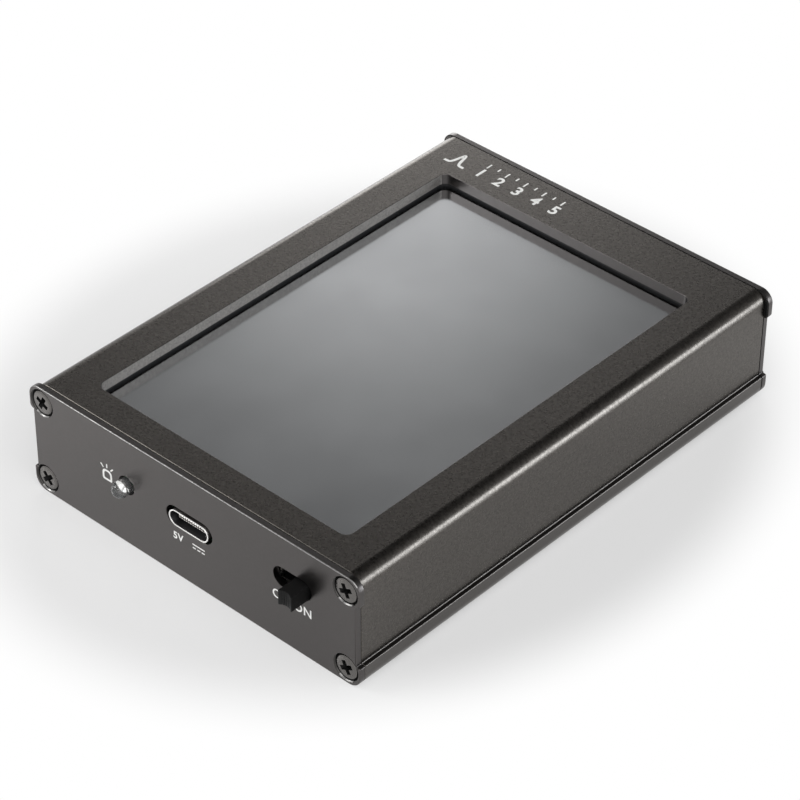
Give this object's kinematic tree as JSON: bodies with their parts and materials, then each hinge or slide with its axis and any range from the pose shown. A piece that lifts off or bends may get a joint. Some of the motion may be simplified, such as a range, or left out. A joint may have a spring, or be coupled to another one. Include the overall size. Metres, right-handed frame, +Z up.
{
  "type": "handheld spectrum analyzer",
  "caption": "Flat dark grey aluminium pocket spectrum analyzer with a recessed touch screen, a USB inlet, a status LED and a slide power switch in front, and threaded coaxial jacks at the rear.",
  "frame": {"origin": "centre of the case's bottom face, midway between the two end plates", "axes": "+Y from the front plate with the switch to the rear plate with the jacks, +X to the right seen from the front, +Z up through the screen"},
  "size_m": [0.0742, 0.1144, 0.0218],
  "materials": {
    "case": "dark grey anodised; sand-blasted top, satin plates",
    "screw_steel": "dark plated",
    "gasket": "matte",
    "touch_face": "glossy grey",
    "display_glass": "clear grey",
    "flex": "amber film",
    "tape": "white adhesive tape",
    "chip": "black moulded",
    "guide": "milky",
    "tin": "bright sheet",
    "foam": "foam",
    "board": "green solder mask",
    "socket": "ivory",
    "ferrite": "grey ferrite",
    "inlet_steel": "bright nickel",
    "inlet_plastic": "black",
    "gold": "gold plated",
    "jack_gold": "gold plated",
    "jack_hardware": "plain",
    "insulator": "white",
    "led_clear": "water clear",
    "switch_plastic": "black",
    "pouch": "foil pouch",
    "lead": "insulated wire"
  },
  "bodies": {
    "case": {"top_shell": "case", "bottom_shell": "case", "front_plate": "case", "rear_plate": "case", "front_plate_screws": "screw_steel", "rear_plate_screws": "screw_steel", "window_gasket": "gasket", "touch_film": "touch_face", "touch_glass": "display_glass", "touch_flex": "flex", "display_tape": "tape", "lcd_cell": "display_glass", "lcd_driver_chip": "chip", "lcd_flex": "flex", "light_guide": "guide", "lcd_tray": "tin", "display_pads": "foam", "main_board": "board", "lcd_flex_socket": "socket", "touch_flex_socket": "socket", "mixer_can": "tin", "mixer_can_lid": "tin", "oscillator_can": "tin", "oscillator_can_lid": "tin", "mixer_chip": "chip", "oscillator_chip": "chip", "processor": "chip", "memory_chip": "chip", "crystal": "tin", "charger_chip": "chip", "power_inductor": "ferrite", "usb_shell": "inlet_steel", "usb_tongue": "inlet_plastic", "usb_contacts": "gold", "led_lens": "led_clear", "led_leads": "tin", "switch_frame": "tin", "switch_base": "switch_plastic", "switch_terminals": "tin", "input_jack": "jack_gold", "output_jack": "jack_gold", "input_insulator": "insulator", "output_insulator": "insulator", "input_contact": "gold", "output_contact": "gold", "jack_washers": "jack_hardware", "jack_nuts": "jack_hardware", "battery": "pouch", "battery_tape": "tape", "battery_guard": "board", "battery_leads": "lead", "battery_plug": "socket", "battery_socket": "socket"},
    "power_switch": {"switch_knob": "switch_plastic", "switch_wiper": "gold"}
  },
  "joints": [
    {"name": "power_switch_slide", "type": "slide", "parent": "case", "child": "power_switch", "axis": [1, 0, 0], "range_m": [-0.004, 0]}
  ]
}
